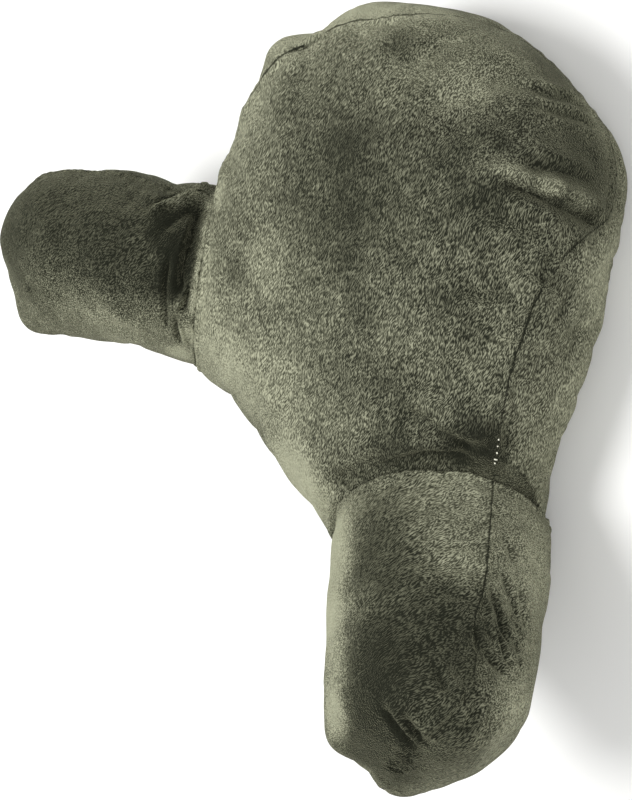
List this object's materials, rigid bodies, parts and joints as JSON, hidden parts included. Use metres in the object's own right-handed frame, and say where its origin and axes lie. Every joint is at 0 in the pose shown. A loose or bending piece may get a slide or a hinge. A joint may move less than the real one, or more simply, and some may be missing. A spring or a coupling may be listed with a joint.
{
  "type": "lumbar pillow with arms",
  "caption": "Stuffed plush backrest cushion with a round top and splayed padded arms, lying on its back; supports a seated person's lower back and elbows.",
  "frame": {"origin": "on the flat rear face that the pillow lies on, midway between the arms", "axes": "+Z is the way the front faces, up as it lies; +Y points to the rounded top of the back; +X points to the right arm as seen from the front"},
  "size_m": [0.7864, 0.5489, 0.2691],
  "materials": {
    "back_plush": "short brushed plush, olive grey",
    "arm_plush": "short brushed plush, olive grey"
  },
  "bodies": {
    "root": {"back_cushion": "back_plush", "arm_right": "arm_plush", "arm_left": "arm_plush"}
  },
  "joints": []
}
